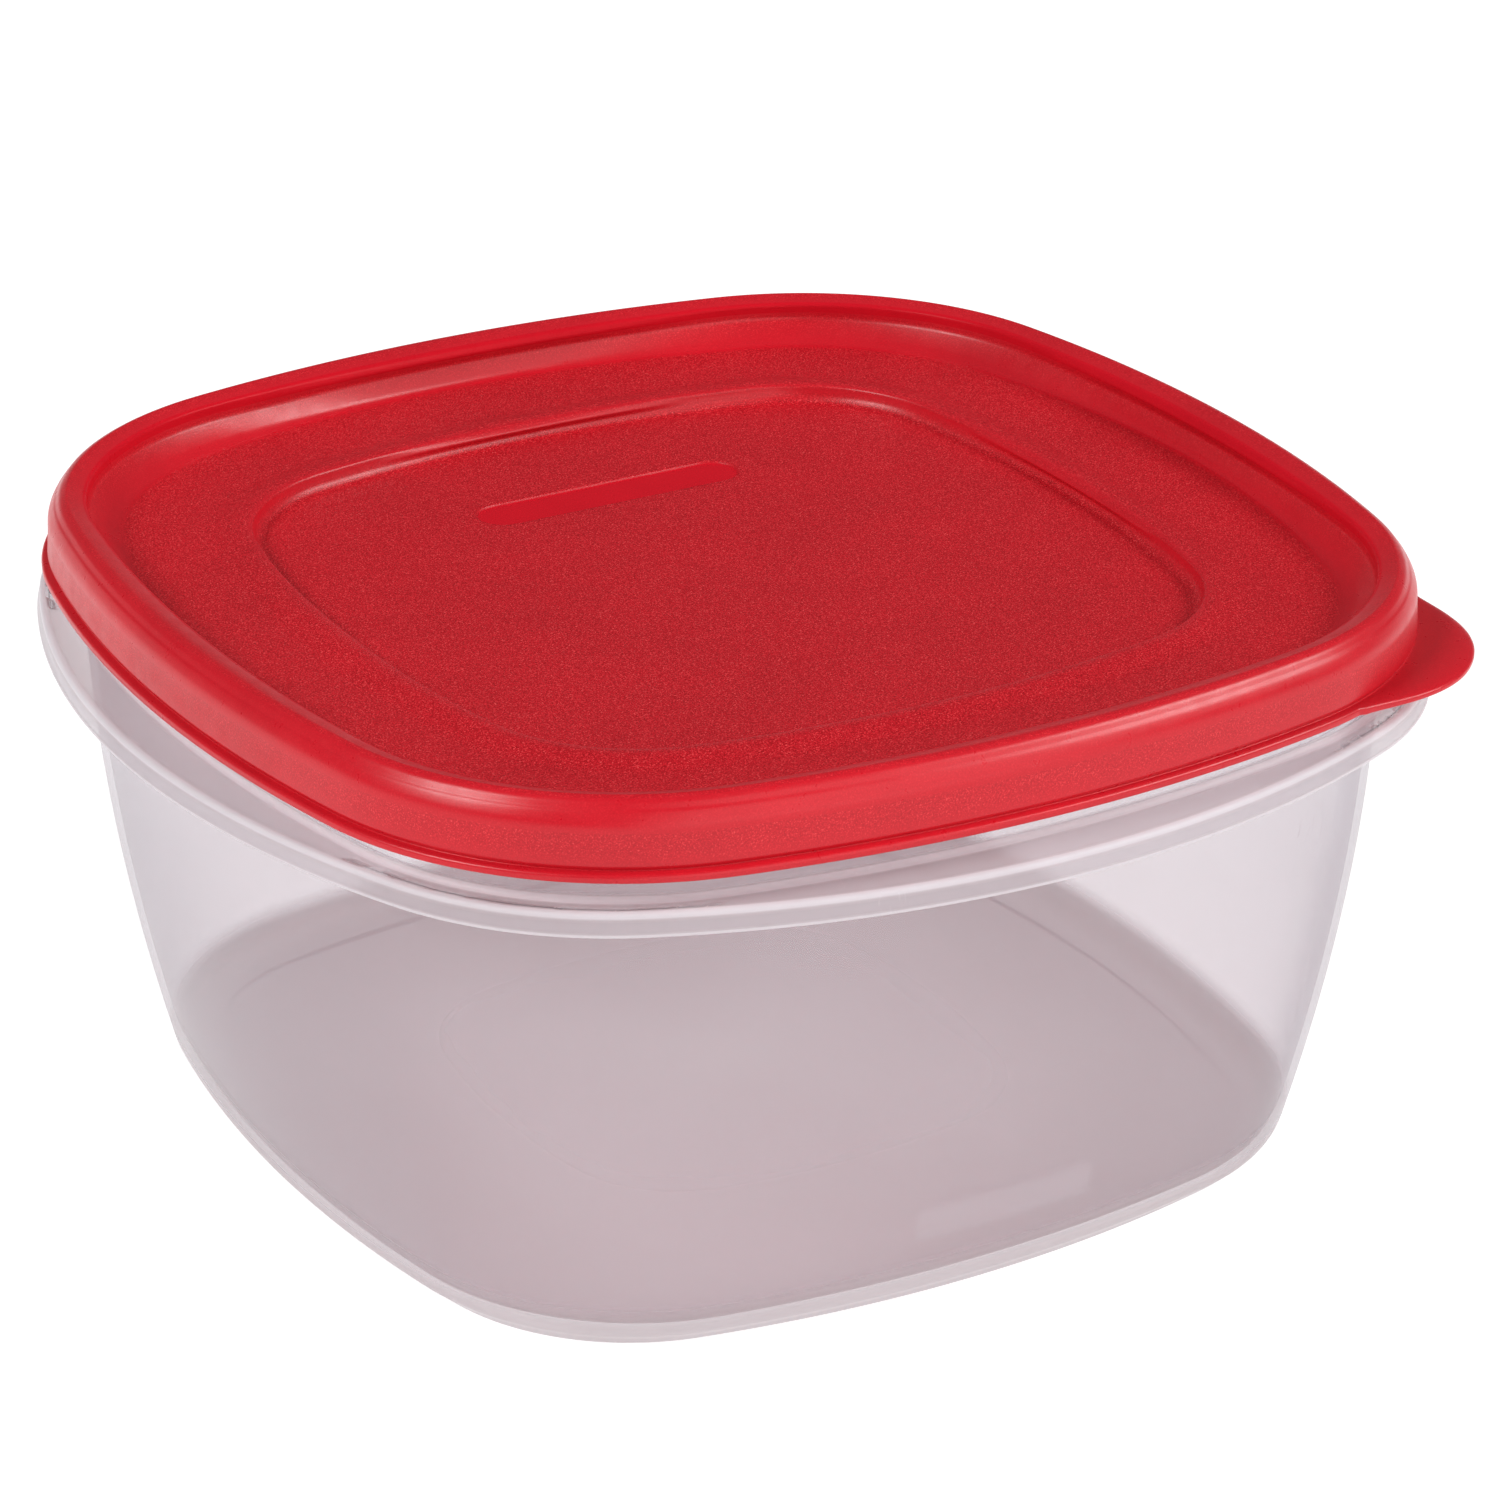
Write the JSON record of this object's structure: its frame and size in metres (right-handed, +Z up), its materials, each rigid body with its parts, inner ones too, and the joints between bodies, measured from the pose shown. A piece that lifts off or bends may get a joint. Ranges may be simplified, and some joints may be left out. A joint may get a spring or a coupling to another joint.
{
  "type": "food storage container",
  "caption": "Square clear plastic food tub with a ring foot and an outer collar, and a press-down lid with a sunken stacking panel and a corner pull tab.",
  "frame": {"origin": "centre of the foot's underside, on the surface that the tub stands on", "axes": "+Z up; X and Y along the normals of the tub's four sides; the pull tab points to +X -Y"},
  "size_m": [0.2306, 0.2306, 0.11],
  "materials": {
    "tub_clear": "clear moulded polypropylene, glossy, slightly milky where it is thick",
    "lid_red": "moulded plastic, satin on the bead and finely grained on the ledge and panel"
  },
  "bodies": {
    "tub": {"tub": "tub_clear"},
    "lid": {"lid": "lid_red"}
  },
  "joints": [
    {"name": "lid_lift", "type": "slide", "parent": "tub", "child": "lid", "axis": [0, 0, 1], "range_m": [0, 0.12]}
  ]
}
